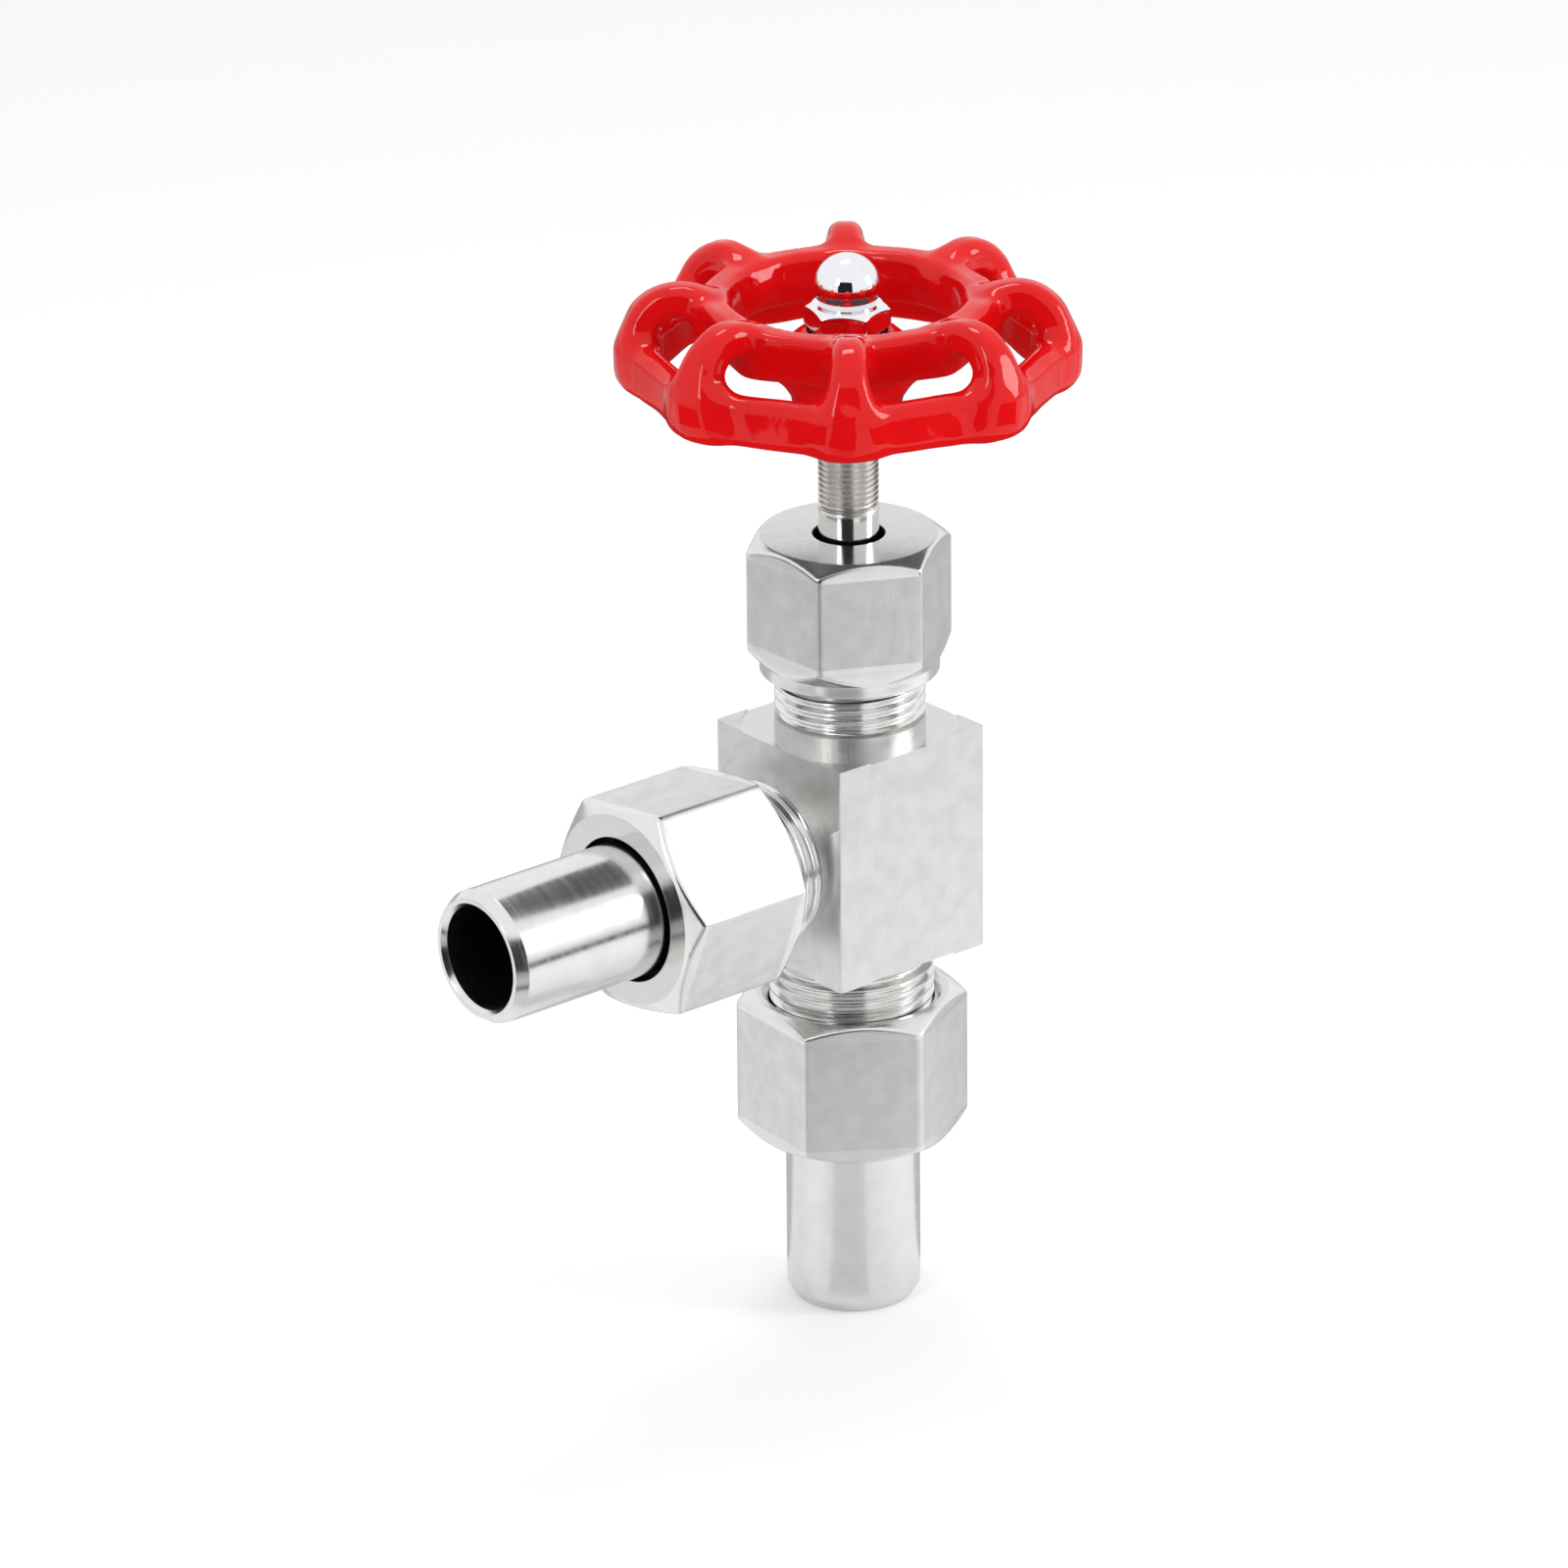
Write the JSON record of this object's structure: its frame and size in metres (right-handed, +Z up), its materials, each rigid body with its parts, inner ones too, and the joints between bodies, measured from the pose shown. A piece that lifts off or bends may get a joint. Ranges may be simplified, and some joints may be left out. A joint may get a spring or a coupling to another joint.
{
  "type": "angle needle valve",
  "caption": "Angle needle valve: square steel body, weld tails held by union nuts below and beside it, gland nut, threaded stem and red cast handwheel under a domed nut.",
  "frame": {"origin": "middle of the bottom tail's end face, on the stem's axis", "axes": "+Z up along the stem towards the domed nut, -X out of the side tail"},
  "size_m": [0.0933, 0.0598, 0.1484],
  "materials": {
    "stainless_block": "satin, faintly mottled",
    "stainless_nut": "satin bar stock with machined chamfers",
    "stainless_tail": "fine turned",
    "stem_steel": "polished, turned",
    "needle_steel": "ground",
    "bearing_steel": "polished",
    "spring_steel": "dark",
    "red_enamel": "thick gloss enamel on cast iron",
    "chrome_plate": "mirror",
    "packing_white": "waxy",
    "gasket_grey": "dull"
  },
  "bodies": {
    "valve": {"valve_body": "stainless_block", "packing_washer": "stainless_nut", "packing_ring_lower": "packing_white", "packing_ring_middle": "packing_white", "packing_ring_upper": "packing_white", "gland_follower": "stainless_nut", "gland_nut": "stainless_nut"},
    "needle_group": {"needle": "needle_steel", "thrust_ball": "bearing_steel", "retaining_wire": "spring_steel"},
    "spindle": {"stem": "stem_steel", "handwheel": "red_enamel", "spring_washer": "spring_steel", "acorn_nut": "chrome_plate"},
    "bottom_tail_group": {"bottom_tail": "stainless_tail", "bottom_gasket": "gasket_grey"},
    "bottom_nut": {"bottom_union_nut": "stainless_nut"},
    "side_tail_group": {"side_tail": "stainless_tail", "side_gasket": "gasket_grey"},
    "side_nut": {"side_union_nut": "stainless_nut"}
  },
  "joints": [
    {"name": "needle_lift", "type": "slide", "parent": "valve", "child": "needle_group", "axis": [0, 0, 1], "range_m": [-0.002, 0.003]},
    {"name": "handwheel_turn", "type": "hinge", "parent": "needle_group", "child": "spindle", "pos_m": [0, 0, 0.13], "axis": [0, 0, 1], "range_deg": [-720, 1080]},
    {"name": "bottom_tail_slide", "type": "slide", "parent": "valve", "child": "bottom_tail_group", "axis": [0, 0, -1], "range_m": [0, 0.009]},
    {"name": "bottom_nut_turn", "type": "hinge", "parent": "bottom_tail_group", "child": "bottom_nut", "pos_m": [0, 0, 0.034], "axis": [0, 0, -1], "range_deg": [0, 2160]},
    {"name": "side_tail_slide", "type": "slide", "parent": "valve", "child": "side_tail_group", "axis": [-1, 0, 0], "range_m": [0, 0.009]},
    {"name": "side_nut_turn", "type": "hinge", "parent": "side_tail_group", "child": "side_nut", "pos_m": [-0.0294, 0, 0.0666], "axis": [-1, 0, 0], "range_deg": [0, 2160]}
  ],
  "couplings": [
    {"joint": "handwheel_turn", "follows": "needle_lift", "rad_per_m": 6283.2},
    {"joint": "bottom_nut_turn", "follows": "bottom_tail_slide", "rad_per_m": 4188.8},
    {"joint": "side_nut_turn", "follows": "side_tail_slide", "rad_per_m": 4188.8}
  ]
}
